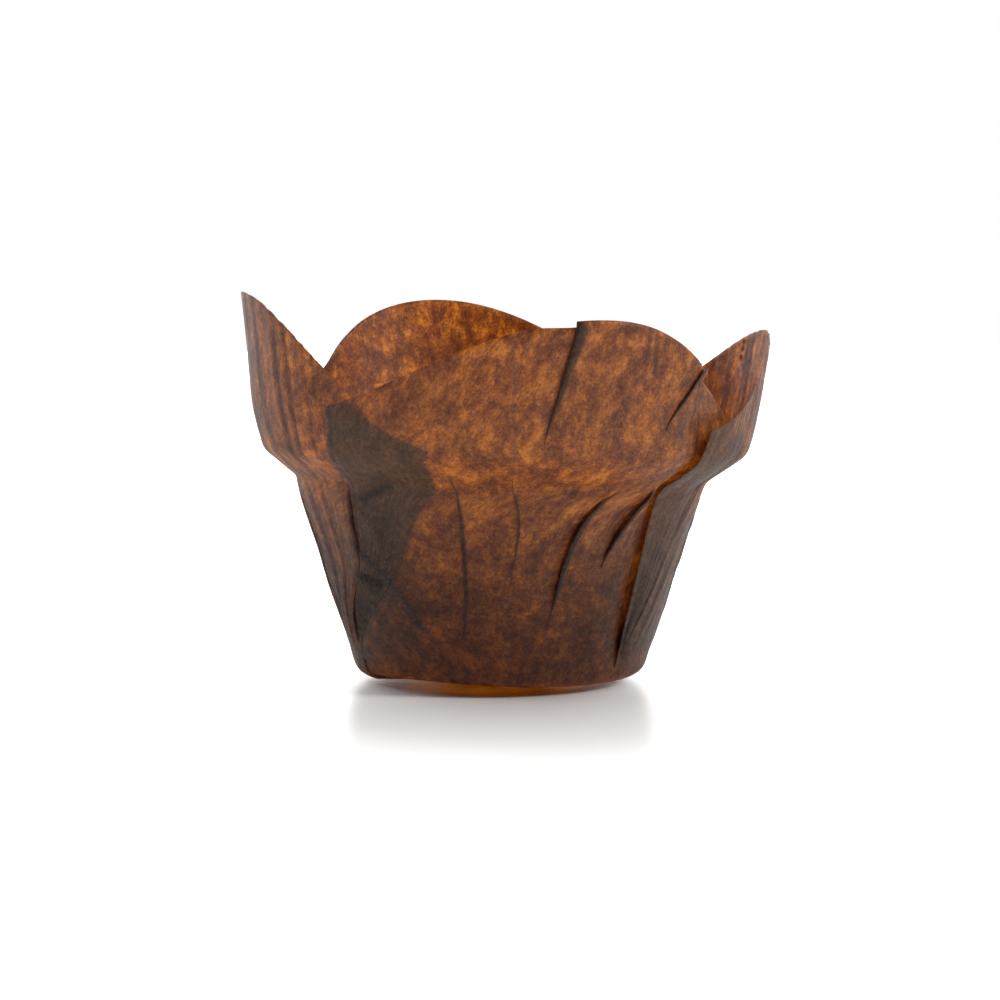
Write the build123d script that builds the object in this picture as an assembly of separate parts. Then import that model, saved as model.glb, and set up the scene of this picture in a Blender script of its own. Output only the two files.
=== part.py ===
from build123d import *
from functools import lru_cache
from math import cos, pi, radians, sin, sqrt, tan
import os

# A lotus muffin cup, in millimetres: one sheet of baking paper with a wavy edge, pressed
# into a cup with four petals. The paper that a cup has to spare lies in four knife pleats,
# each three layers deep, which open out flat round the corner of the base.
# The origin is in the middle of the underside, +Z is up, and the front petal is at -Y.

# The paper
paper = 0.08            # thickness of the sheet
layer_gap = 0.12        # air between the layers of a pleat
petals = 4              # petals, with as many pleats between them

# The pressed shape, as a section from the middle of the base to the tip of a petal
foot_radius = 26.5      # where the line of the wall would meet the table
wall_height = 39.2      # height at which the wall turns out into the shoulder
wall_lean = 18.2        # degrees that the wall leans out from upright
shoulder_width = 7.4    # how far the shoulder steps out
shoulder_rise = 5.4     # how far it climbs before it turns up into the petals
petal_lean = 7.0        # degrees that the petals lean out from upright
base_bend = 8.0         # radius between the base and the wall
shoulder_bend = 3.0     # radius between the wall and the shoulder
rim_bend = 4.0          # radius between the shoulder and the petals

# The edge of the sheet, measured along the paper from the end of the rim bend
petal_length = 26.6     # to the tip of a petal
notch_length = 1.6      # to the lowest point between two petals

# How a pleat begins
start_width = 0.8       # width of each strip of a pleat where it leaves the flat base
rise_share = 0.4        # share of the base bend over which the strips lift apart
fold_from = 0.3         # share of the base bend at which they start to fold over
fold_share = 0.5        # share of the base bend over which they fold over

pitch = paper + layer_gap
turn_length = pi * pitch / 2
sector = 2 * pi / petals

# A sector is one petal with the pleat to its left. Its strips, in order, are the pleat's
# middle layer, its outer turn, the petal's edge over that pleat, the open petal in two
# halves, the edge under the next pleat, and that pleat's inner turn.
STRIPS = 7


def make_meridian():
    """The section of the pressed shape: straight runs joined by arcs."""
    foot = Vector(foot_radius, 0)
    wall_top = foot + Vector(wall_height * tan(radians(wall_lean)), wall_height)
    rim = wall_top + Vector(shoulder_width, shoulder_rise)
    lean = radians(petal_lean)
    tip = rim + Vector(sin(lean), cos(lean)) * (petal_length + 2 * rim_bend)
    bends = [base_bend, shoulder_bend, rim_bend]
    return FilletPolyline((0, 0), foot, wall_top, rim, tip, radius=bends)


meridian = make_meridian()
run_lengths = [edge.length for edge in meridian.edges()]
run_ends = [sum(run_lengths[: i + 1]) for i in range(len(run_lengths))]
base_end, corner_end = run_ends[:2]
rim_end = run_ends[5]
tip_reach = rim_end + petal_length
notch_reach = rim_end + notch_length


@lru_cache(maxsize=None)
def section_at(reach):
    """Radius, height and outward direction of the section, this far along the paper."""
    point = meridian.position_at(reach, position_mode=PositionMode.LENGTH)
    along = meridian.tangent_at(reach, position_mode=PositionMode.LENGTH)
    return point.X, point.Y, along.Y, -along.X


def ease(share):
    """A smooth step from 0 to 1."""
    share = min(max(share, 0.0), 1.0)
    return share * share * (3 - 2 * share)


def pleat_width(reach):
    """Width of a pleat: half of the sheet's spare length in one sector of the circle."""
    radius = section_at(reach)[0]
    spare = sector * (reach - radius) / 2
    return sqrt(spare**2 + start_width**2)


def strip_lengths(reach):
    """Lengths along the sheet of a sector's seven strips, in order."""
    radius = section_at(reach)[0]
    width = pleat_width(reach)
    layer = width - pitch
    free = (sector * radius - width + pitch) / 2
    return [layer, turn_length, layer, free, free, layer, turn_length]


def sheet_angle(reach, strip):
    """Angle on the flat sheet, from the notch in the middle of the pleat's middle layer."""
    lengths = strip_lengths(reach)
    whole = int(min(strip, STRIPS - 1))
    passed = sum(lengths[:whole]) + (strip - whole) * lengths[whole]
    return sector * (passed - lengths[0] / 2) / sum(lengths)


@lru_cache(maxsize=None)
def edge_reach(strip):
    """Distance from the centre of the flat sheet to its wavy edge, along this strip."""
    middle = (tip_reach + notch_reach) / 2
    swing = (tip_reach - notch_reach) / 2
    reach = middle
    for _ in range(40):
        reach = middle - swing * cos(petals * sheet_angle(reach, strip))
    return reach


def folded(reach, strip):
    """Place round the circle and offset from the section, with the pleat folded over."""
    radius = section_at(reach)[0]
    width = pleat_width(reach)
    near, far = pitch / 2, width - pitch / 2
    span = sector * radius
    if strip < 1:
        return far + (near - far) * strip, 0.0
    if strip < 2:
        turn = pi * (strip - 1)
        return near - near * sin(turn), near - near * cos(turn)
    if strip < 3:
        return near + (far - near) * (strip - 2), pitch
    if strip < 5:
        share = (strip - 3) / 2
        return far + (span + near - far) * share, pitch * (1 - 2 * ease(share))
    if strip < 6:
        return span + near + (far - near) * (strip - 5), -pitch
    turn = pi * (strip - 6)
    return span + far + near * sin(turn), -near - near * cos(turn)


def spread(reach, strip):
    """Place round the circle with the same strips laid flat, side by side."""
    radius = section_at(reach)[0]
    span = sector * radius
    first = (pleat_width(reach) - start_width) / 2
    free = (span - 3 * start_width - 2 * turn_length) / 2
    lengths = [start_width, turn_length, start_width, free, free, start_width, turn_length]
    whole = int(min(strip, STRIPS - 1))
    return first + sum(lengths[:whole]) + (strip - whole) * lengths[whole]


def tip_angle():
    """Angle from a pleat's outer fold to the tip of the petal that starts there."""
    low, high = 2.0, 6.0
    for _ in range(50):
        strip = (low + high) / 2
        if sheet_angle(tip_reach, strip) < sector / 2:
            low = strip
        else:
            high = strip
    return folded(tip_reach, low)[0] / section_at(tip_reach)[0]


first_fold = -pi / 2 - tip_angle()


def sheet_point(reach, strip):
    """Point on the middle of the paper's thickness."""
    turns, strip = divmod(strip, STRIPS)
    radius, height, out_r, out_z = section_at(reach)
    bend_length = corner_end - base_end
    lift = ease((reach - base_end) / (rise_share * bend_length))
    fold = ease(((reach - base_end) / bend_length - fold_from) / fold_share)
    around, offset = folded(reach, strip)
    around = fold * around + (1 - fold) * spread(reach, strip)
    offset *= lift
    angle = first_fold + turns * sector + around / radius
    radius += offset * out_r
    return Vector(radius * cos(angle), radius * sin(angle), height + offset * out_z + paper / 2)


def sheet_normal(reach, strip):
    """Direction from the sheet's inner face to its outer face."""
    if reach <= base_end:
        return Vector(0, 0, -1)
    step = 1e-4
    across = sheet_point(reach, strip + step) - sheet_point(reach, strip - step)
    along = sheet_point(reach + step, strip) - sheet_point(reach - step, strip)
    return across.cross(along).normalized()


def thirds(ends, parts):
    """Each stretch between two ends cut into parts, and each part into thirds."""
    marks = [ends[0]]
    for low, high, count in zip(ends, ends[1:], parts):
        pieces = 3 * count
        marks += [low + (high - low) * i / pieces for i in range(1, pieces + 1)]
    return marks


lower_reaches = thirds(run_ends[:6], [4, 3, 1, 1, 1])
petal_rows = 3


def strip_points(strip, side):
    """Points up one line of the sheet, on its outer (1) or inner (-1) face."""
    upper = thirds([rim_end, edge_reach(strip % STRIPS)], [petal_rows])
    points = []
    for reach in lower_reaches + upper[1:]:
        offset = sheet_normal(reach, strip) * (side * paper / 2)
        points.append(sheet_point(reach, strip) + offset)
    return points


def control_row(p0, p1, p2, p3):
    """Control points of the cubic curve through four points."""
    return [
        p0,
        (p1 * 18 - p0 * 5 - p2 * 9 + p3 * 2) / 6,
        (p2 * 18 - p3 * 5 - p1 * 9 + p0 * 2) / 6,
        p3,
    ]


def control_net(block):
    """Control points of the cubic patch through a block of four by four points."""
    rows = [control_row(*row) for row in block]
    columns = [control_row(*column) for column in zip(*rows)]
    return [list(row) for row in zip(*columns)]


def skin_nets(lines):
    """Control nets of one sector of one face of the sheet."""
    nets = []
    for i in range(0, len(lines) - 1, 3):
        for j in range(0, len(lines[0]) - 1, 3):
            nets.append(control_net([line[j : j + 4] for line in lines[i : i + 4]]))
    return nets


def make_liner():
    """The whole sheet as one solid: two skins, the cut edge and the flat base."""
    strips = [i / 3 for i in range(3 * STRIPS + 1)]
    outer = [strip_points(strip, 1) for strip in strips]
    inner = [strip_points(strip, -1) for strip in strips]
    faces = [Face.make_bezier_surface(net) for net in skin_nets(outer) + skin_nets(inner)]
    for i in range(0, len(strips) - 1, 3):
        top_outer = control_row(*[line[-1] for line in outer[i : i + 4]])
        top_inner = control_row(*[line[-1] for line in inner[i : i + 4]])
        faces.append(Face.make_bezier_surface(list(zip(top_outer, top_inner))))
    sectors = [face.rotate(Axis.Z, 360 / petals * i) for i in range(petals) for face in faces]
    for lines in (outer, inner):
        edges = []
        for i in range(0, len(strips) - 1, 3):
            bottom = control_row(*[line[0] for line in lines[i : i + 4]])
            edges.append(Edge.make_bezier(*bottom))
        ring = [edge.rotate(Axis.Z, 360 / petals * i) for i in range(petals) for edge in edges]
        sectors.append(Face(Wire(ring)))
    return Solid(Shell(sectors))


os.makedirs("parts", exist_ok=True)
liner = make_liner()
export_step(liner, "parts/paper_liner.step")
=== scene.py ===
import math

import bpy
import numpy as np
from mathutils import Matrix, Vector


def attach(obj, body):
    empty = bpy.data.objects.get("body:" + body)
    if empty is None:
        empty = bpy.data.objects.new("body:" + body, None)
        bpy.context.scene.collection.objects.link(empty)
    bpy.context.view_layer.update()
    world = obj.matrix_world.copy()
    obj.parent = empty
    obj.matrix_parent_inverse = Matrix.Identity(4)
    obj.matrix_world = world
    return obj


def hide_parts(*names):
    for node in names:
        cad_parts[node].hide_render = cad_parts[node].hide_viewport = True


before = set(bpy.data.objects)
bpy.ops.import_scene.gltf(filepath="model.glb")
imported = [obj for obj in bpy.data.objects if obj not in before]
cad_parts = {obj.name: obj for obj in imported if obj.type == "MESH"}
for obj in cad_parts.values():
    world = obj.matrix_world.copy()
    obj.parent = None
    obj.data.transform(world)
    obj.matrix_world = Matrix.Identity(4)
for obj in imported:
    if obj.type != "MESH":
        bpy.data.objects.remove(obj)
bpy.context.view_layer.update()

# ---------------------------------------------------------------------------------------------------
# The liner: one sheet of brown baking paper with four rounded petals, pressed over a mould. The spare
# paper of the wall is laid over itself in four pleats, and nothing is glued, so the folds gape a little.
# Sizes are in millimetres and bearings in degrees: 0 is the front petal's tip and 90 the right one's.
# ---------------------------------------------------------------------------------------------------
MILLIMETRE = 0.001
PAPER_THICKNESS = 0.08
LAYER_GAP = 0.18

# The sheet runs out flat from the middle and is bent four times: at the foot, inwards at the top of the
# wall, up again at the rim, and a little more along the petals. Each bend: where, how long, how far.
FOOT_BEND_START = 24.6
WALL_START = 30.5
SHOULDER_START = 67.1
RIM_BEND_START = 75.5
PETAL_START = 79.5
PETAL_BEND_START = 79.6
LONGEST_REACH = 122.0
SHEET_BENDS = (
    (FOOT_BEND_START, 5.4, 73.0),
    (SHOULDER_START, 2.6, -36.9),
    (RIM_BEND_START, 3.6, 39.0),
    (PETAL_BEND_START, 12.0, 8.0),
)
PATH_STEPS = 2440

reach_steps = np.linspace(0.0, LONGEST_REACH, PATH_STEPS + 1)
slope_steps = np.zeros_like(reach_steps)
for bend_start, bend_length, bend_turn in SHEET_BENDS:
    part_done = np.clip((reach_steps - bend_start) / bend_length, 0.0, 1.0)
    slope_steps += np.radians(bend_turn) * part_done * part_done * (3.0 - 2.0 * part_done)
step_length = reach_steps[1] - reach_steps[0]
radius_steps = np.concatenate(([0.0], np.cumsum(np.cos(slope_steps[:-1])) * step_length))
height_steps = np.concatenate(([0.0], np.cumsum(np.sin(slope_steps[:-1])) * step_length))


def ease(value, start, end):
    """Goes smoothly from 0 at start to 1 at end."""
    share = np.clip((np.asarray(value, dtype=float) - start) / (end - start), 0.0, 1.0)
    return share * share * (3.0 - 2.0 * share)


def hump(value, middle, width):
    """A soft rise to 1 at middle, gone about two widths away."""
    return np.exp(-(((np.asarray(value, dtype=float) - middle) / width) ** 2))


def smooth_line(points, value):
    """A smooth line through a few (value, result) points, level beyond its ends."""
    at = np.array([point[0] for point in points], dtype=float)
    result = np.array([point[1] for point in points], dtype=float)
    slopes = np.gradient(result, at)
    slopes[0] = slopes[-1] = 0.0
    inside = np.clip(value, at[0], at[-1])
    left = np.clip(np.searchsorted(at, inside, side="right") - 1, 0, len(at) - 2)
    gap = at[left + 1] - at[left]
    u = (inside - at[left]) / gap
    return (
        result[left] * (1 + 2 * u) * (1 - u) ** 2
        + slopes[left] * gap * u * (1 - u) ** 2
        + result[left + 1] * u * u * (3 - 2 * u)
        + slopes[left + 1] * gap * u * u * (u - 1)
    )


# The pleats, each named for the petal that lies on top of it. fold is the bearing of the outer fold at
# a few heights, fold_height where the sheet's cut edge meets it. Above it the petal's edge rises to its
# tip, and falls on the other side to the notch in the next pleat's inner fold.
PLEAT_SHARE = 0.9
PLEAT_SLACK = 1.0
CREASE_SHARE = 2.2
CREASED_HEIGHT, CREASED_SPREAD = 30.0, 9.0
NOTCH_HEIGHT = 46.6
FRONT_TIP_HEIGHT = 69.7
PLEATS = (
    dict(
        name="front",
        fold=((4.0, -84.0), (9.5, -82.0), (17.5, -75.0), (24.5, -67.6), (33.0, -65.4), (39.0, -63.8),
              (46.0, -61.5), (54.0, -60.6)),
        fold_height=53.9, tip=0.0, tip_height=FRONT_TIP_HEIGHT, rise=1.0, fall=1.18,
        gape_out=((8.0, 0.0), (23.0, 0.5), (38.0, 0.1), (44.0, 0.4), (54.0, 0.05)),
        gape_in=((8.0, 0.0), (23.0, 0.8), (34.0, 0.1), (43.0, 0.5), (50.0, 0.05)),
        lip=((5.0, 0.0), (13.0, 1.0), (22.0, 1.5), (34.0, 1.2), (38.0, 0.8), (41.5, 0.0)),
    ),
    dict(
        name="right",
        fold=((2.0, 28.5), (10.5, 26.9), (18.0, 26.4), (32.0, 26.6), (38.0, 27.0), (42.0, 30.0),
              (46.0, 30.4), (51.0, 30.8)),
        fold_height=50.6, tip=79.0, tip_height=67.9, rise=1.25, fall=1.0,
        gape_out=((2.0, 0.0), (8.0, 0.4), (20.0, 0.6), (36.0, 0.4), (44.0, 0.4), (52.0, 1.2),
                  (60.0, 1.4)),
        gape_in=((2.0, 0.0), (20.0, 0.5), (40.0, 0.4), (46.0, 0.8), (52.0, 1.8), (60.0, 3.2),
                 (70.0, 4.0)),
    ),
    dict(
        name="back",
        fold=((4.0, 112.0), (16.0, 113.0), (38.0, 116.0), (54.0, 117.0)),
        fold_height=53.4, tip=175.0, tip_height=74.2, rise=0.95, fall=1.12,
        gape_out=((4.0, 0.0), (20.0, 0.5), (38.0, 0.3), (54.0, 0.3)),
        gape_in=((4.0, 0.0), (20.0, 0.3), (54.0, 0.4)),
    ),
    dict(
        name="left",
        fold=((4.0, 214.0), (16.0, 213.0), (38.0, 213.0), (54.0, 214.0)),
        fold_height=53.4, tip=255.0, tip_height=75.2, rise=1.0, fall=1.55,
        gape_out=((4.0, 0.0), (20.0, 0.5), (38.0, 0.3), (54.0, 0.3)),
        gape_in=((4.0, 0.0), (20.0, 0.3), (54.0, 0.4)),
    ),
)
# Small pleats inside a petal, where the paper has doubled over by itself. The dart starts above the
# front petal's rim and widens up to the cut edge, the tucks run down the wall from the shoulder.
# fold is the bearing of the outer fold at some heights, width how many degrees are folded under.
TUCK_UNDER_GAPE = 0.25
DART_DROP = 1.1
DART_DROP_WIDTH = 11.0
DART_START = 46.9
DART = dict(
    name="dart", petal="front", columns=24,
    fold=((DART_START, -10.6), (58.0, -7.8), (FRONT_TIP_HEIGHT, -4.8)),
    width=((DART_START, 0.0), (FRONT_TIP_HEIGHT, 2.7)),
    gape_out=((44.0, 0.0), (70.0, 0.15)), gape_in=((44.0, 0.0), (70.0, 0.0)),
)


def tuck_pleat(name, petal, column_count, fold, width, lip):
    """A small pleat whose upper layer stands up from the wall by lip millimetres where it is widest."""
    widest = max(part for _, part in width)
    lifted = tuple((at, lip * part / widest) for at, part in width)
    flat = tuple((at, TUCK_UNDER_GAPE * lip * part / widest) for at, part in width)
    return dict(name=name, petal=petal, columns=column_count, fold=fold, width=width,
                gape_out=lifted, gape_in=flat)


SMALL_PLEATS = (
    tuck_pleat(
        "tuck_1", "front", 20,
        fold=((8.0, -33.0), (11.5, -32.2), (26.5, -30.9), (37.5, -31.4), (42.3, -32.4)),
        width=((9.0, 0.0), (14.0, 0.9), (26.0, 1.3), (37.0, 0.8), (43.0, 0.0)), lip=0.25),
    tuck_pleat(
        "tuck_2", "front", 9,
        fold=((18.0, -17.5), (22.8, -16.7), (33.9, -14.8), (41.4, -17.0)),
        width=((20.0, 0.0), (30.0, 0.5), (38.0, 0.5), (42.0, 0.0)), lip=0.15),
    DART,
    tuck_pleat(
        "tuck_3", "front", 22,
        fold=((12.0, -4.0), (17.0, -2.9), (24.5, -1.4), (31.0, 1.3), (35.1, 4.6), (37.6, 9.0),
              (39.0, 12.5)),
        width=((13.0, 0.0), (20.0, 1.2), (28.0, 2.2), (34.0, 2.4), (37.0, 1.4), (39.2, 0.0)), lip=0.7),
    tuck_pleat(
        "tuck_4", "front", 16,
        fold=((22.0, 11.0), (25.0, 12.0), (28.8, 13.8), (32.1, 16.1), (35.7, 20.0), (38.2, 24.5),
              (40.0, 25.5), (45.0, 20.0), (50.2, 17.6), (58.0, 23.7), (62.5, 27.6)),
        width=((24.0, 0.0), (29.0, 1.4), (34.0, 2.6), (37.0, 2.0), (39.5, 0.0), (49.0, 0.0),
               (54.0, 0.8), (61.0, 0.9), (64.0, 0.0)), lip=0.8),
    tuck_pleat(
        "tuck_5", "right", 22,
        fold=((12.0, 84.0), (26.0, 88.0), (36.0, 93.0), (41.0, 90.0)),
        width=((12.0, 0.0), (22.0, 1.4), (34.0, 1.6), (40.0, 0.0)), lip=0.5),
    tuck_pleat(
        "tuck_6", "back", 20,
        fold=((14.0, 171.0), (30.0, 174.0), (37.0, 180.0), (41.0, 183.0)),
        width=((14.0, 0.0), (26.0, 1.6), (35.0, 2.0), (40.0, 0.0)), lip=0.6),
    tuck_pleat(
        "tuck_8", "back", 5,
        fold=((42.0, 208.0), (50.0, 208.5), (58.0, 208.0), (66.0, 209.5), (73.0, 211.5)),
        width=((44.0, 0.0), (52.0, 0.8), (62.0, 1.2), (74.0, 1.4)), lip=0.3),
    tuck_pleat(
        "tuck_7", "left", 30,
        fold=((10.0, 261.0), (26.0, 259.5), (36.0, 257.0), (41.0, 255.5)),
        width=((10.0, 0.0), (20.0, 1.5), (34.0, 1.4), (40.0, 0.0)), lip=0.5),
)
FULL_TURN = 360.0


def turn_between(bearing_from, bearing_to):
    """Degrees from one bearing to another, the short way round."""
    return (bearing_from - bearing_to + 0.5 * FULL_TURN) % FULL_TURN - 0.5 * FULL_TURN


def path_at(reach):
    """Radius, height and slope of the pressed sheet at a distance from the sheet's middle."""
    return (
        np.interp(reach, reach_steps, radius_steps),
        np.interp(reach, reach_steps, height_steps),
        np.interp(reach, reach_steps, slope_steps),
    )


def fold_bearing(pleat, reach):
    """Bearing of a pleat's outer fold."""
    return smooth_line(pleat["fold"], path_at(reach)[1])


def overlap(pleat, reach):
    """Degrees from a pleat's outer fold to its inner one, from the paper that is spare there."""
    if "width" in pleat:
        return np.maximum(np.interp(path_at(reach)[1], *zip(*pleat["width"])), 0.0)
    below_petals = np.minimum(reach, PETAL_START + 1.0)
    radius, height, _ = path_at(below_petals)
    spare = (below_petals - radius) * math.pi / len(PLEATS)
    taken_by_creases = PLEAT_SLACK + CREASE_SHARE * hump(height, CREASED_HEIGHT, CREASED_SPREAD)
    width = np.clip(PLEAT_SHARE * spare - taken_by_creases, 0.0, None)
    return np.degrees(width / np.maximum(radius, 1.0))


def petal_edge(pleat, bearing, start_fold, end_fold):
    """Height of a petal's cut edge, from its outer fold over its tip to the next pleat's inner fold."""
    tip, tip_height, fold_height = pleat["tip"], pleat["tip_height"], pleat["fold_height"]
    up = np.clip((bearing - start_fold) / (tip - start_fold), 0.0, 1.0) ** pleat["rise"]
    swell = np.sin(0.5 * math.pi * up)
    rising = fold_height + (tip_height - fold_height) * 0.5 * (swell**2 + swell)
    down = np.clip((bearing - tip) / (end_fold - tip), 0.0, 1.0) ** pleat["fall"]
    falling = tip_height - (tip_height - NOTCH_HEIGHT) * np.sin(0.5 * math.pi * down) ** 2
    return np.where(bearing < tip, rising, falling)


TOP_REACH = float(np.interp(FRONT_TIP_HEIGHT, height_steps, reach_steps))


def shifted(pleat, turns):
    """The same pleat, a whole turn further round."""
    moved = dict(pleat)
    moved["fold"] = tuple((height, bearing + turns * FULL_TURN) for height, bearing in pleat["fold"])
    moved["tip"] = pleat["tip"] + turns * FULL_TURN
    return moved


def edge_at(petal, next_pleat, bearing):
    """Height of the cut edge of a petal at a bearing."""
    start = float(fold_bearing(petal, TOP_REACH))
    end = float(fold_bearing(next_pleat, TOP_REACH) + overlap(next_pleat, TOP_REACH))
    height = petal_edge(petal, bearing, start, end)
    if petal["name"] == "front":
        dart_bearing = DART["fold"][-1][1]
        left_of_dart = 1.0 - ease(bearing, dart_bearing - 0.01, dart_bearing)
        toward_dart = ease(bearing, dart_bearing - DART_DROP_WIDTH, dart_bearing)
        height = height - left_of_dart * DART_DROP * toward_dart
    return height


def gape(points, reach):
    """How far a fold stands off the layer beside it."""
    return smooth_line(points, path_at(reach)[1])


# Columns of paper, going round the sheet: at each pleat the under layer, inner fold, middle layer,
# outer fold and upper layer, then the free paper as far as the next pleat. Numbers say how many each has.
UPPER_COLUMNS = dict(front=40, right=32, back=20, left=26)
FREE_COLUMNS = dict(front=22, right=26, back=24, left=8)
HIDDEN_COLUMNS, MIDDLE_COLUMNS, TURN_COLUMNS = 6, 5, 3
TUCK_LAYER_COLUMNS, TUCK_TURN_COLUMNS = 2, 1
round_the_sheet = []
for number, pleat in enumerate(PLEATS):
    previous = PLEATS[number - 1] if number else shifted(PLEATS[-1], -1)
    coming = PLEATS[number + 1] if number + 1 < len(PLEATS) else shifted(PLEATS[0], 1)
    round_the_sheet.append((pleat, previous, pleat, coming))
    own_small_pleats = [small for small in SMALL_PLEATS if small["petal"] == pleat["name"]]
    round_the_sheet += [(small, pleat, pleat, coming) for small in own_small_pleats]
columns = []
for number, (pleat, petal_before, petal, coming) in enumerate(round_the_sheet):
    small = "width" in pleat
    layer, turns = (TUCK_LAYER_COLUMNS, TUCK_TURN_COLUMNS) if small else (MIDDLE_COLUMNS, TURN_COLUMNS)
    following = round_the_sheet[number + 1][0] if number + 1 < len(round_the_sheet) else coming
    under_end = coming if small else pleat
    hidden = TUCK_LAYER_COLUMNS if small else HIDDEN_COLUMNS
    upper = TUCK_LAYER_COLUMNS if small else UPPER_COLUMNS[pleat["name"]]
    free = pleat["columns"] if small else FREE_COLUMNS[pleat["name"]]
    columns.append(("under", pleat, petal_before, under_end, following, hidden))
    columns.append(("inner turn", pleat, petal_before, under_end, following, turns))
    columns.append(("middle", pleat, petal, coming, following, layer))
    columns.append(("outer turn", pleat, petal, coming, following, turns))
    columns.append(("upper", pleat, petal, coming, following, upper))
    columns.append(("free", pleat, petal, coming, following, free))

# Rows of paper, from the middle of the base out to the petals' cut edge.
BASE_ROW_REACHES = (0.0, 3.0, 7.5, 12.0, 16.5)
FOOT_ROWS, WALL_ROWS, SHOULDER_ROWS, PETAL_ROWS = 9, 44, 16, 26
lower_rows = np.concatenate((
    np.array(BASE_ROW_REACHES),
    np.linspace(FOOT_BEND_START, WALL_START, FOOT_ROWS)[:-1],
    np.linspace(WALL_START, SHOULDER_START, WALL_ROWS)[:-1],
    np.linspace(SHOULDER_START, PETAL_START, SHOULDER_ROWS)[:-1],
))
LIP_CROWDING = 1.6
FULL_PITCH_WIDTH, TUCK_FULL_PITCH_WIDTH = 1.2, 0.8
JUST_OVER_FOLD = 0.02
MIDDLE_LIFT, TURN_LIFT = 0.85, 0.15
# How dark the painted shade is on a small pleat's layers, on a hidden middle layer and under a lip.
TUCK_SHADE, MIDDLE_SHADE, LIP_SHADE = 0.55, 0.3, 0.8


def crowd_to_fold(share, next_fold):
    """Columns set closer together before a fold that has a lip standing over it."""
    return 1.0 - (1.0 - share) ** (LIP_CROWDING if "lip" in next_fold else 1.0)


def pleat_pitch(pleat, reach):
    """Distance from one layer to the next: none where the pleat starts, all of it soon after."""
    width = np.radians(overlap(pleat, reach)) * path_at(reach)[0]
    full_width = TUCK_FULL_PITCH_WIDTH if "width" in pleat else FULL_PITCH_WIDTH
    return LAYER_GAP * np.clip(width / full_width, 0.0, 1.0)


strip_bearings, strip_lifts, strip_reaches, strip_ridges, strip_shades = [], [], [], [], []
for kind, pleat, petal, after, next_fold, count in columns:
    share = np.arange(count) / count
    small = "width" in pleat
    fold_top, wide_top = float(fold_bearing(pleat, TOP_REACH)), float(overlap(pleat, TOP_REACH))
    just_over = JUST_OVER_FOLD if small else 0.0
    under_drop = DART_DROP if pleat is DART else 0.0
    if small:
        fold_edge = float(edge_at(petal, after, np.array(fold_top + just_over)))
        notch_edge = float(edge_at(petal, after, np.array(fold_top + wide_top))) - under_drop
    else:
        fold_edge, notch_edge = pleat["fold_height"], NOTCH_HEIGHT
    if kind == "under":
        edge_height = edge_at(petal, after, fold_top + wide_top * share) - under_drop
    elif kind == "inner turn":
        edge_height = np.full(count, notch_edge)
    elif kind == "middle":
        edge_height = notch_edge + (fold_edge - notch_edge) * share
    elif kind == "outer turn":
        edge_height = np.full(count, fold_edge)
    elif kind == "upper":
        edge_height = edge_at(petal, after, fold_top + wide_top * share + just_over)
    else:
        start = fold_top + wide_top
        end = float(fold_bearing(next_fold, TOP_REACH))
        edge_height = edge_at(petal, after, start + (end - start) * crowd_to_fold(share, next_fold))

    edge_reach = np.interp(edge_height, height_steps, reach_steps)
    petal_share = np.linspace(0.0, 1.0, PETAL_ROWS)[:, None]
    petal_rows = PETAL_START + (edge_reach[None, :] - PETAL_START) * petal_share
    reach = np.vstack((np.repeat(lower_rows[:, None], count, axis=1), petal_rows))
    radius = np.maximum(path_at(reach)[0], 1e-3)
    share = np.repeat(share[None, :], reach.shape[0], axis=0)
    fold, wide, pitch = fold_bearing(pleat, reach), overlap(pleat, reach), pleat_pitch(pleat, reach)
    out, inside = gape(pleat["gape_out"], reach), gape(pleat["gape_in"], reach)
    growth = pitch / LAYER_GAP
    out, inside = out * growth, inside * growth
    swing = math.pi * share
    if kind == "under":
        bearing, lift = fold + wide * share, -pitch - inside
    elif kind == "inner turn":
        bearing = fold + wide + np.degrees(0.5 * pitch * np.sin(swing) / radius)
        lift = -pitch - inside + 0.5 * pitch * (1.0 - np.cos(swing))
    elif kind == "middle":
        bearing = fold + wide * (1.0 - share)
        lift = -inside * (1.0 - share) + out * share * MIDDLE_LIFT
    elif kind == "outer turn":
        bearing = fold - np.degrees(0.5 * pitch * np.sin(swing) / radius)
        lift = MIDDLE_LIFT * out + (pitch + TURN_LIFT * out) * 0.5 * (1.0 - np.cos(swing))
    elif kind == "upper":
        bearing, lift = fold + wide * share, pitch + out * (1.0 - share) ** (0.3 if small else 1.5)
    else:
        next_start = fold_bearing(next_fold, reach)
        next_pitch = pleat_pitch(next_fold, reach)
        next_in = gape(next_fold["gape_in"], reach) * next_pitch / LAYER_GAP
        bearing = fold + wide + (next_start - fold - wide) * crowd_to_fold(share, next_fold)
        lift = pitch * (1.0 - ease(share, 0.0, 0.5))
        lift = lift - next_pitch * ease(share, 0.5, 1.0) - next_in * ease(share, 0.2, 1.0)
        if "lip" in next_fold:
            lip = gape(next_fold["lip"], reach)
            lift = lift + lip * ease(share, 0.45, 0.86) * (1.0 - ease(share, 0.9, 1.0))
    # Painted shade: the layers of a small pleat, the hidden middle layer of a big pleat and the free
    # paper just under a lip are darkened where a shadow would fall.
    if small and kind != "free":
        shade = TUCK_SHADE * np.clip(growth, 0.0, 1.0) * np.ones(reach.shape)
    elif kind == "middle":
        shade = MIDDLE_SHADE * growth
    elif kind == "free" and "lip" in next_fold:
        shade = ease(share, 0.89, 0.93) * np.clip(LIP_SHADE * lip, 0.0, 0.9)
    else:
        shade = np.zeros(reach.shape)
    strip_shades.append(shade)
    strip_reaches.append(reach)
    may_ridge = np.full(count, 1.0 if kind in ("upper", "free") else 0.0)
    if kind in ("upper", "free"):
        may_ridge[0] = 0.0
    strip_ridges.append(may_ridge)
    strip_bearings.append(bearing)
    strip_lifts.append(lift)

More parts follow.
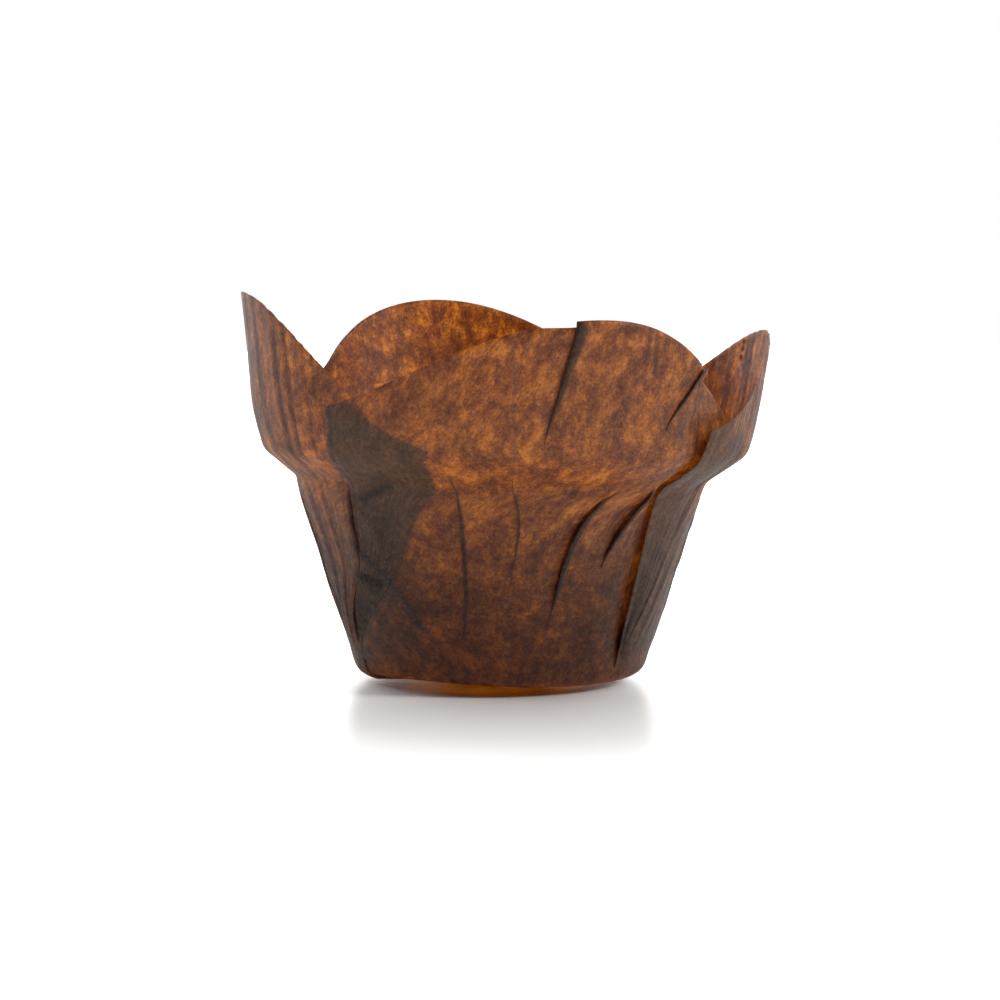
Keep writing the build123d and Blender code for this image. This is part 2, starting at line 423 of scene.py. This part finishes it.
reach = np.hstack(strip_reaches)
bearing = np.hstack(strip_bearings)
lift = np.hstack(strip_lifts)
radius, height, slope = path_at(reach)
row_count, column_count = reach.shape

# Creases that the hand and the mould left, each a smooth line of (bearing, height) points with how deep
# and how wide it is, and its kind: one side stepped over the other, a groove or a ridge.
CREASES = (
    (((4.5, 39.6), (0.6, 37.6), (1.6, 34.2)), 0.35, 0.9, "ridge"),
    (((-70.0, 30.5), (-57.5, 23.2), (-50.0, 16.6), (-45.5, 9.5)), 1.3, 1.5, "step"),
    (((-72.0, 22.6), (-65.0, 21.6), (-59.0, 20.4)), 0.9, 0.8, "groove"),
    (((-65.5, 32.6), (-62.0, 33.4), (-57.5, 31.0), (-56.0, 26.4), (-50.5, 24.4)), 0.5, 1.2, "ridge"),
    (((-62.0, 36.0), (-55.0, 38.4), (-48.0, 39.4)), 0.6, 1.0, "groove"),
    (((-60.0, 22.0), (-50.0, 18.0), (-42.0, 12.0), (-38.0, 7.0)), 0.4, 1.8, "ridge"),
    (((34.8, 57.4), (31.3, 53.6)), 0.4, 0.7, "ridge"),
    (((28.5, 13.0), (28.5, 8.0), (33.0, 4.5)), 0.6, 0.9, "groove"),
    (((-47.0, 39.2), (-38.0, 38.6), (-24.0, 39.3)), 0.16, 1.2, "groove"),
    (((-4.0, 39.0), (4.0, 38.7), (14.0, 39.6)), 0.2, 1.2, "groove"),
    (((-8.0, 45.6), (-11.0, 47.8), (-13.0, 46.6)), 0.3, 0.8, "groove"),
    (((212.0, 73.0), (210.0, 66.0), (208.0, 58.0), (209.0, 50.0)), 0.6, 0.9, "step"),
    (((150.0, 38.0), (155.0, 28.0), (153.0, 14.0)), 0.5, 1.4, "step"),
    (((192.0, 37.0), (185.0, 28.0), (186.0, 20.0)), 0.4, 1.3, "step"),
    (((66.0, 38.0), (62.0, 28.0), (64.0, 12.0)), 0.5, 1.2, "step"),
    (((240.0, 38.0), (246.0, 26.0), (243.0, 12.0)), 0.5, 1.4, "step"),
    (((262.0, 38.0), (268.0, 30.0), (266.0, 16.0)), 0.5, 1.5, "step"),
)
CREASE_SAMPLES = 40
CREASE_SIDE, CREASE_MARGIN = 40.0, 8.0
STEP_SHARPNESS = 0.55
FAR_AWAY = 1e9


def crease_push(points, depth, width, kind):
    """How far one crease pushes the paper outwards at every point of the sheet, and the shade painted
    along it.
    """
    along = np.linspace(0.0, len(points) - 1.0, CREASE_SAMPLES)
    line_bearing = smooth_line([(k, point[0]) for k, point in enumerate(points)], along)
    line_height = smooth_line([(k, point[1]) for k, point in enumerate(points)], along)
    middle = float(np.mean(line_bearing))
    turned = turn_between(bearing, middle)
    across = np.radians(turned) * radius
    line_radius = np.interp(line_height, height_steps, radius_steps)
    line_across = np.radians(line_bearing - middle) * line_radius
    push = np.zeros_like(reach)
    lowest, highest = line_height.min() - CREASE_MARGIN, line_height.max() + CREASE_MARGIN
    near = (np.abs(turned) < CREASE_SIDE) & (height > lowest) & (height < highest)
    x, z = across[near], height[near]
    best = np.full(x.shape, FAR_AWAY)
    side = np.zeros_like(x)
    done = np.zeros_like(x)
    for k in range(CREASE_SAMPLES - 1):
        ax, az, bx, bz = line_across[k], line_height[k], line_across[k + 1], line_height[k + 1]
        dx, dz = bx - ax, bz - az
        length = math.hypot(dx, dz)
        t = np.clip(((x - ax) * dx + (z - az) * dz) / length**2, 0.0, 1.0)
        gap = np.hypot(x - ax - t * dx, z - az - t * dz)
        closer = gap < best
        best = np.where(closer, gap, best)
        side = np.where(closer, -np.sign((x - ax) * dz - (z - az) * dx), side)
        done = np.where(closer, (k + t) / (CREASE_SAMPLES - 1), done)
    strength = depth * ease(done, 0.0, 0.25) * (1.0 - ease(done, 0.7, 1.0))
    # Steps and grooves also get a band of painted shade, along a step's low side and down a groove.
    painted_line_shade = np.zeros_like(reach)
    if kind == "step":
        over = 0.4 + 0.8 * np.tanh(side * best / STEP_SHARPNESS)
        push[near] = strength * np.exp(-best / width) * over
        painted_line_shade[near] = strength * np.exp(-((side * best + 0.4) / 0.8) ** 2)
    elif kind == "groove":
        push[near] = -strength * np.exp(-((best / width) ** 2))
        painted_line_shade[near] = strength * np.exp(-((best / 0.7) ** 2))
    else:
        push[near] = strength * np.exp(-((best / width) ** 1.4))
    return push, painted_line_shade


# Painted shade, from 0 to 1: along creases, on the small pleats' layers, in the pleats' hidden middle
# layers and on the paper under a lip; the furrows between the gathers are added further down.
push = np.zeros_like(reach)
painted_shade = np.zeros_like(reach)
for crease in CREASES:
    crease_out, crease_painted_shade = crease_push(*crease)
    push = push + crease_out
    painted_shade = np.maximum(painted_shade, crease_painted_shade)
painted_shade = np.maximum(np.clip(painted_shade * 1.3, 0.0, 1.0), np.hstack(strip_shades))
from_fold = np.full(reach.shape, FULL_TURN)
for pleat in PLEATS:
    from_fold = np.minimum(from_fold, np.abs(turn_between(bearing, fold_bearing(pleat, reach))))
FOLD_CLEAR, FOLD_FADE = 0.2, 2.4
off_fold = ease(from_fold, FOLD_CLEAR, FOLD_FADE)
push = push * off_fold

# Fine upright gathers run up the wall beside each pleat and up the sides of the cup: the paper stands
# up in a thin ridge along a line of the sheet, a few lines apart, each of its own height. Each place has
# the bearing where they are thickest, how far round they reach and how strong they are.
RIDGE_HEIGHT = 0.5
FURROW_SHADE = 1.1
GATHER_PLACES = ((-98.0, 26.0, 1.0), (46.0, 18.0, 0.75), (84.0, 18.0, 0.8), (128.0, 20.0, 0.8),
                 (216.0, 14.0, 0.7), (-60.0, 12.0, 0.45), (16.0, 16.0, 0.2))
FEWEST_GATHERS, MOST_GATHERS = 0.06, 1.1
GATHER_SEED = 11
WANDER_REACHES = np.linspace(20.0, 120.0, 9)
gathers = np.zeros_like(reach)
for middle, width, amount in GATHER_PLACES:
    gathers = gathers + amount * hump(turn_between(bearing, middle), 0.0, width)
gathers = np.minimum(FEWEST_GATHERS + gathers, MOST_GATHERS) * ease(reach, 30.0, 42.0)
on_shoulder = ease(reach, SHOULDER_START - 2.0, SHOULDER_START + 3.0) * (1.0 - ease(reach, 73.0, 79.0))
gathers = gathers * (1.0 - 0.4 * on_shoulder)
chance = np.random.default_rng(GATHER_SEED)
column_height = np.zeros(column_count)
column = 0
while column < column_count:
    column_height[column] = chance.uniform(0.35, 1.0)
    column += int(chance.integers(2, 5))
ridged = np.concatenate(strip_ridges)
column_height = column_height * ridged
wander = np.stack([
    np.interp(reach[:, k], WANDER_REACHES, chance.uniform(0.25, 1.0, WANDER_REACHES.size))
    for k in range(column_count)
], axis=1)
push = push + RIDGE_HEIGHT * column_height[None, :] * wander * gathers * off_fold
# Painted shade down the furrows between the ridges.
furrow = np.where(column_height > 0.0, 0.0, chance.uniform(0.15, 1.0, column_count)) * ridged
furrow_painted_shade = FURROW_SHADE * furrow[None, :] * (1.2 - wander) * gathers
painted_shade = ease(reach, 15.0, 24.0) * np.clip(painted_shade + furrow_painted_shade, 0.0, 1.0)
# Painted shade and glow, partly also how much paper is gathered up: 1 low on the wall, where the paper is
# thickest and in shade, 0 at the rim, and -1 on the plain base, which then passes more light for a
# painted glow under the foot.
painted_wall_shade_and_base_glow = ease(reach, 20.0, 24.5) * (2.0 - ease(reach, 36.0, 74.0)) - 1.0

# The whole cup sits a little askew, and its foot is lifted off the floor round the edge.
CUP_LEAN_BEARING = 70.0
TOP_LEAN, WAIST_LEAN, SIDE_DROP = 0.9, 0.2, 0.7
WAIST_DENT, RIM_DENT = 0.6, 0.4
FOOT_LIFT, FRONT_LEFT_LIFT = 1.5, 1.1
PETAL_LEANS = ((-105.0, 30.0, -0.9), (75.0, 26.0, 1.2), (175.0, 40.0, 0.5))
toward_lean = np.cos(np.radians(bearing - CUP_LEAN_BEARING))
waist = hump(height, 24.0, 12.0)
round_radius = radius + push * np.sin(slope) + lift * np.sin(slope)
round_radius = round_radius + toward_lean * (TOP_LEAN * ease(height, 37.0, 46.0) + WAIST_LEAN * waist)
round_radius = round_radius - WAIST_DENT * waist - RIM_DENT * ease(height, 41.0, 46.0)
for petal_bearing, petal_width, petal_lean in PETAL_LEANS:
    beside = hump(turn_between(bearing, petal_bearing), 0.0, petal_width)
    round_radius = round_radius + petal_lean * ease(height, 50.0, 74.0) * beside
drop = -SIDE_DROP * toward_lean * ease(height, 12.0, 40.0) * (1.0 - ease(height, 46.0, 60.0))
foot_lift = FOOT_LIFT * ease(radius, 4.0, 25.0)
foot_lift = foot_lift + FRONT_LEFT_LIFT * ease(radius, 10.0, 26.0) * hump(bearing, -55.0, 45.0)
foot_lift = foot_lift * (1.0 - ease(height, 4.0, 24.0))
z = height - (lift + push) * np.cos(slope) + drop + foot_lift + PAPER_THICKNESS

# The sheet as a mesh, with what the pressing and the paper's look read from it. lay is where a point
# lies on a plain cylinder, so that the noise of the pressing isn't bent by the folds.
LAY_RADIUS = 45.0
turn = np.radians(bearing - 90.0)
points = np.stack((round_radius * np.cos(turn), round_radius * np.sin(turn), z), axis=-1)
outward = np.stack((np.sin(slope) * np.cos(turn), np.sin(slope) * np.sin(turn), -np.cos(slope)), axis=-1)
lay = np.stack((LAY_RADIUS * np.cos(turn), LAY_RADIUS * np.sin(turn), height), axis=-1)
grid = np.arange(row_count * column_count).reshape(row_count, column_count)
here, right_of = grid, np.roll(grid, -1, axis=1)
faces = np.stack((here[:-1], right_of[:-1], right_of[1:], here[1:]), axis=-1).reshape(-1, 4)
sheet_mesh = bpy.data.meshes.new("liner_sheet")
sheet_mesh.from_pydata((points.reshape(-1, 3) * MILLIMETRE).tolist(), [], faces.tolist())
for attribute_name, values in (("outward", outward), ("lay", lay * MILLIMETRE)):
    attribute = sheet_mesh.attributes.new(attribute_name, "FLOAT_VECTOR", "POINT")
    attribute.data.foreach_set("vector", values.reshape(-1))
for attribute_name, values in (("gathers", gathers), ("painted_shade", painted_shade), ("painted_wall_shade_and_base_glow", painted_wall_shade_and_base_glow)):
    attribute = sheet_mesh.attributes.new(attribute_name, "FLOAT", "POINT")
    attribute.data.foreach_set("value", values.reshape(-1))

# The flat map lays the sheet out as it was cut, on a square whose side is given in metres.
FLAT_MAP_SIDE = 0.24
FLAT_MAP_BEARING = 10.0
row_turn = np.radians(np.diff(bearing, axis=1)) * np.maximum(radius[:, 1:], 1e-3)
row_step = np.hypot(row_turn, np.diff(lift, axis=1))
run = np.hstack((np.zeros((row_count, 1)), np.cumsum(row_step, axis=1)))
closing = np.radians(bearing[:, :1] + FULL_TURN - bearing[:, -1:]) * np.maximum(radius[:, -1:], 1e-3)
middle_column = int(np.argmin(np.abs(bearing[-1] - FLAT_MAP_BEARING)))
flat_angle = 2.0 * math.pi * (run - run[:, middle_column:middle_column + 1]) / (run[:, -1:] + closing)
flat_x = 0.5 + reach * MILLIMETRE * np.cos(flat_angle) / FLAT_MAP_SIDE
flat_y = 0.5 + reach * MILLIMETRE * np.sin(flat_angle) / FLAT_MAP_SIDE
flat = np.stack((flat_x, flat_y), axis=-1).reshape(-1, 2)
flat_map = sheet_mesh.uv_layers.new(name="flat_sheet")
flat_map.data.foreach_set("uv", flat[faces.reshape(-1)].reshape(-1))
sheet_mesh.update()


def add_node(tree, kind, **settings):
    """A new node with its properties set; inputs holds values or sockets by input name or number."""
    node = tree.nodes.new(kind)
    inputs = settings.pop("inputs", {})
    for name, value in settings.items():
        setattr(node, name, value)
    for name, value in inputs.items():
        if isinstance(value, bpy.types.NodeSocket):
            tree.links.new(value, node.inputs[name])
        else:
            node.inputs[name].default_value = value
    return node


# Brown baking paper: a thin web of fibres, cloudy when light comes through it, dull brown on its face.
FACE_COLOUR = (0.130, 0.066, 0.036, 1.0)
THROUGH_COLOUR = (1.36, 0.83, 0.105, 1.0)
CLOUD_COLOUR = (0.45, 0.34, 0.26, 1.0)
THINNEST = 0.4
FACE_ROUGHNESS, FACE_SHEEN = 0.48, 0.4
GRAIN_SCALE, GRAIN_STRENGTH, GRAIN_DEPTH = 420.0, 0.35, 0.00006
paper = bpy.data.materials.new("brown_baking_paper")
paper.use_nodes = True
paper_nodes = paper.node_tree
paper_nodes.nodes.clear()
flat_place = add_node(paper_nodes, "ShaderNodeUVMap", uv_map="flat_sheet").outputs["UV"]


def paper_cloud(scale, detail, roughness, low, high, low_value, high_value):
    """Cloudy variation over the flat sheet, between two values."""
    noise = add_node(paper_nodes, "ShaderNodeTexNoise", noise_dimensions="2D",
                     inputs={"Vector": flat_place, "Scale": scale, "Detail": detail,
                             "Roughness": roughness})
    spread = add_node(paper_nodes, "ShaderNodeMapRange",
                      inputs={"Value": noise.outputs["Fac"], "From Min": low, "From Max": high,
                              "To Min": low_value, "To Max": high_value})
    return spread.outputs["Result"]


def paper_math(operation, a, b):
    """One sum or product in the paper's own tree."""
    return add_node(paper_nodes, "ShaderNodeMath", operation=operation, inputs={0: a, 1: b}).outputs[0]


def paper_attribute(name, from_low, from_high, low_value, high_value):
    """A factor that follows one of the sheet's own attributes."""
    value = add_node(paper_nodes, "ShaderNodeAttribute", attribute_type="GEOMETRY",
                     attribute_name=name).outputs["Fac"]
    spread = add_node(paper_nodes, "ShaderNodeMapRange",
                      inputs={"Value": value, "From Min": from_low, "From Max": from_high,
                              "To Min": low_value, "To Max": high_value})
    return spread.outputs["Result"]


# Thickness is how much paper the light has to pass, 1 for one plain layer: the thin spots come out
# yellower and the thick ones browner. The face is darker too where there is more paper. Painted shade in
# creases, folds, furrows and low on the wall adds to both, and the base is thinned for a painted glow
# under the foot.
thickness = paper_cloud(420.0, 3.0, 0.7, 0.3, 0.7, -0.36, 0.36)
for part in (paper_cloud(140.0, 3.0, 0.6, 0.3, 0.7, 0.65, 1.35),
             paper_cloud(42.0, 3.0, 0.55, 0.3, 0.7, -0.42, 0.42)):
    thickness = paper_math("ADD", thickness, part)
clouded_face = add_node(paper_nodes, "ShaderNodeMapRange",
                        inputs={"Value": thickness, "From Min": 0.0, "From Max": 2.0,
                                "To Min": 1.45, "To Max": 0.55})
# Painted shade in creases, folds, furrows and low on the wall makes the paper pass less light; the base
# is thinned to pass more, a painted glow under the lifted foot.
for part in (paper_attribute("painted_shade", 0.0, 1.0, 0.0, 1.5),
             paper_attribute("painted_wall_shade_and_base_glow", -1.0, 0.0, -0.4, 0.0),
             paper_attribute("painted_wall_shade_and_base_glow", 0.0, 1.0, 0.0, 0.5)):
    thickness = paper_math("ADD", thickness, part)
thickness = paper_math("MAXIMUM", thickness, THINNEST)
face_tone = paper_math("MULTIPLY", paper_cloud(900.0, 1.0, 0.6, 0.25, 0.75, 0.5, 1.5),
                       clouded_face.outputs["Result"])
# Painted shade on the face: darker in creases, folds and furrows and low on the wall.
shaded_tone = paper_math("MULTIPLY", paper_attribute("painted_shade", 0.0, 1.0, 1.0, 0.18),
                         paper_attribute("painted_wall_shade_and_base_glow", 0.0, 1.0, 1.0, 0.5))
face_tone = paper_math("MULTIPLY", face_tone, shaded_tone)
face_colour = add_node(paper_nodes, "ShaderNodeMix", data_type="RGBA", blend_type="MULTIPLY",
                       inputs={0: 1.0, 6: FACE_COLOUR})
face_grey = add_node(paper_nodes, "ShaderNodeCombineColor",
                     inputs={0: face_tone, 1: face_tone, 2: face_tone})
paper_nodes.links.new(face_grey.outputs[0], face_colour.inputs[7])
passed = add_node(paper_nodes, "ShaderNodeGamma", inputs={"Color": CLOUD_COLOUR, "Gamma": thickness})
through_colour = add_node(paper_nodes, "ShaderNodeMix", data_type="RGBA", blend_type="MULTIPLY",
                          inputs={0: 1.0, 6: THROUGH_COLOUR, 7: passed.outputs[0]})
grain_height = add_node(paper_nodes, "ShaderNodeTexNoise", noise_dimensions="2D",
                        inputs={"Vector": flat_place, "Scale": GRAIN_SCALE, "Detail": 3.0,
                                "Roughness": 0.6})
grain = add_node(paper_nodes, "ShaderNodeBump",
                 inputs={"Strength": GRAIN_STRENGTH, "Distance": GRAIN_DEPTH,
                         "Height": grain_height.outputs["Fac"]})
face = add_node(paper_nodes, "ShaderNodeBsdfPrincipled",
                inputs={"Base Color": face_colour.outputs[2], "Roughness": FACE_ROUGHNESS,
                        "Specular IOR Level": FACE_SHEEN, "Normal": grain.outputs["Normal"]})
glow = add_node(paper_nodes, "ShaderNodeBsdfTranslucent",
                inputs={"Color": through_colour.outputs[2], "Normal": grain.outputs["Normal"]})
skin = add_node(paper_nodes, "ShaderNodeMixShader", inputs={0: 0.5})
paper_nodes.links.new(face.outputs[0], skin.inputs[1])
paper_nodes.links.new(glow.outputs[0], skin.inputs[2])
paper_out = add_node(paper_nodes, "ShaderNodeOutputMaterial")
paper_nodes.links.new(skin.outputs[0], paper_out.inputs["Surface"])

# The tree that turns the laid-out sheet into paper: it gathers and cockles it, then gives it thickness.
# Its sizes are in metres. Points nearer than the join distance are one point: the middle of the base,
# and places where a pleat hasn't started yet.
JOIN_DISTANCE, CLOSE_DISTANCE = 0.000004, 0.000002
press = bpy.data.node_groups.new("pressed_paper", "GeometryNodeTree")
press.interface.new_socket(name="Sheet", in_out="INPUT", socket_type="NodeSocketGeometry")
press.interface.new_socket(name="Liner", in_out="OUTPUT", socket_type="NodeSocketGeometry")
PRESS_SIZES = (
    ("Paper thickness", PAPER_THICKNESS * MILLIMETRE),
    ("Gather depth", 0.0007),
    ("Gather width", 0.0036),
    ("Cockle depth", 0.0009),
    ("Cockle size", 0.011),
    ("Crumple depth", 0.00028),
    ("Crumple size", 0.0034),
    ("Seed", 7.0),
)
press_ids = {}
for size_name, size in PRESS_SIZES:
    socket = press.interface.new_socket(name=size_name, in_out="INPUT", socket_type="NodeSocketFloat")
    press_ids[size_name] = socket.identifier
sizes = add_node(press, "NodeGroupInput").outputs
named_outward = add_node(press, "GeometryNodeInputNamedAttribute", data_type="FLOAT_VECTOR",
                         inputs={"Name": "outward"}).outputs["Attribute"]
named_lay = add_node(press, "GeometryNodeInputNamedAttribute", data_type="FLOAT_VECTOR",
                     inputs={"Name": "lay"}).outputs["Attribute"]
named_gathers = add_node(press, "GeometryNodeInputNamedAttribute", data_type="FLOAT",
                         inputs={"Name": "gathers"}).outputs["Attribute"]


def press_math(operation, a, b):
    """One sum or product in the pressing's own tree."""
    return add_node(press, "ShaderNodeMath", operation=operation, inputs={0: a, 1: b}).outputs[0]


def press_wave(size, depth, stretch, sharp):
    """Noise over the pressed shape, one wave per size, as a push of depth outwards and inwards."""
    stretched = add_node(press, "ShaderNodeVectorMath", operation="MULTIPLY",
                         inputs={0: named_lay, 1: (1.0, 1.0, stretch)}).outputs[0]
    waves_per_metre = press_math("DIVIDE", 1.0, size)
    noise = add_node(press, "ShaderNodeTexNoise", noise_dimensions="4D",
                     inputs={"Vector": stretched, "W": sizes["Seed"], "Scale": waves_per_metre,
                             "Detail": 1.5, "Roughness": 0.45}).outputs["Fac"]
    level = press_math("SUBTRACT", noise, 0.5)
    if sharp:
        level = press_math("SUBTRACT", press_math("ABSOLUTE", level, 0.0), 0.08)
    return press_math("MULTIPLY", level, depth)


gather_wave = press_wave(sizes["Gather width"], sizes["Gather depth"], 0.10, False)
gather_push = press_math("MULTIPLY", gather_wave, named_gathers)
wall_part = press_math("MINIMUM", press_math("MULTIPLY", named_gathers, 8.0), 1.0)
cockle_push = press_wave(sizes["Cockle size"], sizes["Cockle depth"], 0.6, False)
crumple_push = press_wave(sizes["Crumple size"], sizes["Crumple depth"], 0.7, True)
surface_push = press_math("MULTIPLY", press_math("ADD", cockle_push, crumple_push), wall_part)
all_push = press_math("ADD", gather_push, surface_push)
push_vector = add_node(press, "ShaderNodeVectorMath", operation="SCALE",
                       inputs={0: named_outward, "Scale": all_push}).outputs[0]
gathered = add_node(press, "GeometryNodeSetPosition",
                    inputs={"Geometry": sizes["Sheet"], "Offset": push_vector})
joined = add_node(press, "GeometryNodeMergeByDistance",
                  inputs={"Geometry": gathered.outputs[0], "Distance": JOIN_DISTANCE})
raised = add_node(press, "GeometryNodeExtrudeMesh", mode="FACES",
                  inputs={"Mesh": joined.outputs[0], "Offset Scale": sizes["Paper thickness"],
                          "Individual": False})
other_face = add_node(press, "GeometryNodeFlipFaces", inputs={"Mesh": joined.outputs[0]})
both = add_node(press, "GeometryNodeJoinGeometry")
press.links.new(other_face.outputs[0], both.inputs[0])
press.links.new(raised.outputs[0], both.inputs[0])
closed = add_node(press, "GeometryNodeMergeByDistance",
                  inputs={"Geometry": both.outputs[0], "Distance": CLOSE_DISTANCE})
smoothed = add_node(press, "GeometryNodeSetShadeSmooth", inputs={"Geometry": closed.outputs[0]})
realized = add_node(press, "GeometryNodeRealizeInstances", inputs={"Geometry": smoothed.outputs[0]})
papered = add_node(press, "GeometryNodeSetMaterial",
                   inputs={"Geometry": realized.outputs[0], "Material": paper})
press_out = add_node(press, "NodeGroupOutput")
press.links.new(papered.outputs[0], press_out.inputs[0])

laid_out = bpy.data.objects.new("liner_laid_out", sheet_mesh)
bpy.context.scene.collection.objects.link(laid_out)
pressing = laid_out.modifiers.new("pressed_paper", "NODES")
pressing.node_group = press
for size_name, size in PRESS_SIZES:
    pressing[press_ids[size_name]] = size
evaluated = laid_out.evaluated_get(bpy.context.evaluated_depsgraph_get())
liner_mesh = bpy.data.meshes.new_from_object(evaluated)
liner_mesh.name = "cupcake_liner"
bpy.data.objects.remove(laid_out)
for spare in ("outward", "lay", "gathers"):
    if spare in liner_mesh.attributes:
        liner_mesh.attributes.remove(liner_mesh.attributes[spare])
liner = bpy.data.objects.new("cupcake_liner", liner_mesh)
bpy.context.scene.collection.objects.link(liner)
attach(liner, "root")
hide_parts("paper_liner")

# ---------------------------------------------------------------------------------------------------
# The floor: one flat sheet of white studio board with a slight sheen, wide enough to fill the view
# behind the liner.
# ---------------------------------------------------------------------------------------------------
FLOOR_HALF = 6.0
BOARD_COLOUR = (0.93, 0.93, 0.92, 1.0)
BOARD_ROUGHNESS, BOARD_SHEEN = 0.3, 0.14
floor_mesh = bpy.data.meshes.new("studio_floor")
floor_corners = [(-FLOOR_HALF, -FLOOR_HALF, 0.0), (FLOOR_HALF, -FLOOR_HALF, 0.0),
                 (FLOOR_HALF, FLOOR_HALF, 0.0), (-FLOOR_HALF, FLOOR_HALF, 0.0)]
floor_mesh.from_pydata(floor_corners, [], [(0, 1, 2, 3)])
floor = bpy.data.objects.new("studio_floor", floor_mesh)
bpy.context.scene.collection.objects.link(floor)
white_board = bpy.data.materials.new("white_board")
white_board.use_nodes = True
board_face = white_board.node_tree.nodes["Principled BSDF"].inputs
board_face["Base Color"].default_value = BOARD_COLOUR
board_face["Roughness"].default_value = BOARD_ROUGHNESS
board_face["Specular IOR Level"].default_value = BOARD_SHEEN
floor_mesh.materials.append(white_board)

# ---------------------------------------------------------------------------------------------------
# Studio light: a white room that is far brighter behind the cup than in front, and three broad far
# lights, one high behind, one at the left and one at the front right.
# ---------------------------------------------------------------------------------------------------
BACK_LIGHT = 3.0
FRONT_LIGHT = 0.02
SEEN_LIGHT = 1.0
BACK_DIRECTION = (0.339, 0.931, 0.135)
room = bpy.data.worlds.new("white_room")
room.use_nodes = True
room_nodes = room.node_tree
look = add_node(room_nodes, "ShaderNodeTexCoord").outputs["Generated"]
toward_back = add_node(room_nodes, "ShaderNodeVectorMath", operation="DOT_PRODUCT",
                       inputs={0: look, 1: BACK_DIRECTION}).outputs["Value"]
room_level = add_node(room_nodes, "ShaderNodeMapRange", interpolation_type="SMOOTHSTEP",
                      inputs={"Value": toward_back, "From Min": -0.3, "From Max": 0.95,
                              "To Min": FRONT_LIGHT, "To Max": BACK_LIGHT}).outputs["Result"]
seen = add_node(room_nodes, "ShaderNodeLightPath").outputs["Is Camera Ray"]
room_strength = add_node(room_nodes, "ShaderNodeMix", data_type="FLOAT",
                         inputs={0: seen, 2: room_level, 3: SEEN_LIGHT}).outputs[0]
background = room_nodes.nodes["Background"]
background.inputs["Color"].default_value = (1.0, 1.0, 1.0, 1.0)
room_nodes.links.new(room_strength, background.inputs["Strength"])
bpy.context.scene.world = room


def soft_light(name, toward, strength, spread):
    """A broad far light, shining along toward, with spread degrees of softness."""
    lamp = bpy.data.lights.new(name, "SUN")
    lamp.energy = strength
    lamp.angle = math.radians(spread)
    holder = bpy.data.objects.new(name, lamp)
    holder.rotation_euler = Vector(toward).to_track_quat("-Z", "Y").to_euler()
    bpy.context.scene.collection.objects.link(holder)


def from_bearing(bearing_seen, height_seen):
    """Direction of light that comes from a bearing and a height, both in degrees."""
    level = math.cos(math.radians(height_seen))
    return (-level * math.sin(math.radians(bearing_seen)), level * math.cos(math.radians(bearing_seen)),
            -math.sin(math.radians(height_seen)))


for light_name, light_bearing, light_height, strength, spread in (
    ("overhead_light", 165.0, 58.0, 1.05, 30.0),
    ("left_light", -108.0, 34.0, 0.3, 22.0),
    ("right_light", 46.0, 30.0, 2.2, 18.0),
):
    soft_light(light_name, from_bearing(light_bearing, light_height), strength, spread)

# ---------------------------------------------------------------------------------------------------
# Camera: a long lens at half a metre, level with the front petal's tip and looking slightly down.
# ---------------------------------------------------------------------------------------------------
CAMERA_DISTANCE = 0.49
CAMERA_HEIGHT = 0.069
CAMERA_BEARING = math.radians(-20.0)
AIM_HEIGHT = 0.035
SENSOR_WIDTH, LENS_LENGTH = 36.0, 91.0
NEAREST, FARTHEST = 0.01, 50.0
eye = Vector((math.sin(CAMERA_BEARING) * CAMERA_DISTANCE, -math.cos(CAMERA_BEARING) * CAMERA_DISTANCE,
              CAMERA_HEIGHT))
lens = bpy.data.cameras.new("camera")
lens.sensor_width = SENSOR_WIDTH
lens.lens = LENS_LENGTH
lens.clip_start = NEAREST
lens.clip_end = FARTHEST
camera = bpy.data.objects.new("camera", lens)
camera.location = eye
camera.rotation_euler = (Vector((0.0, 0.0, AIM_HEIGHT)) - eye).to_track_quat("-Z", "Y").to_euler()
bpy.context.scene.collection.objects.link(camera)
bpy.context.scene.camera = camera
bpy.context.scene.view_settings.view_transform = "Standard"
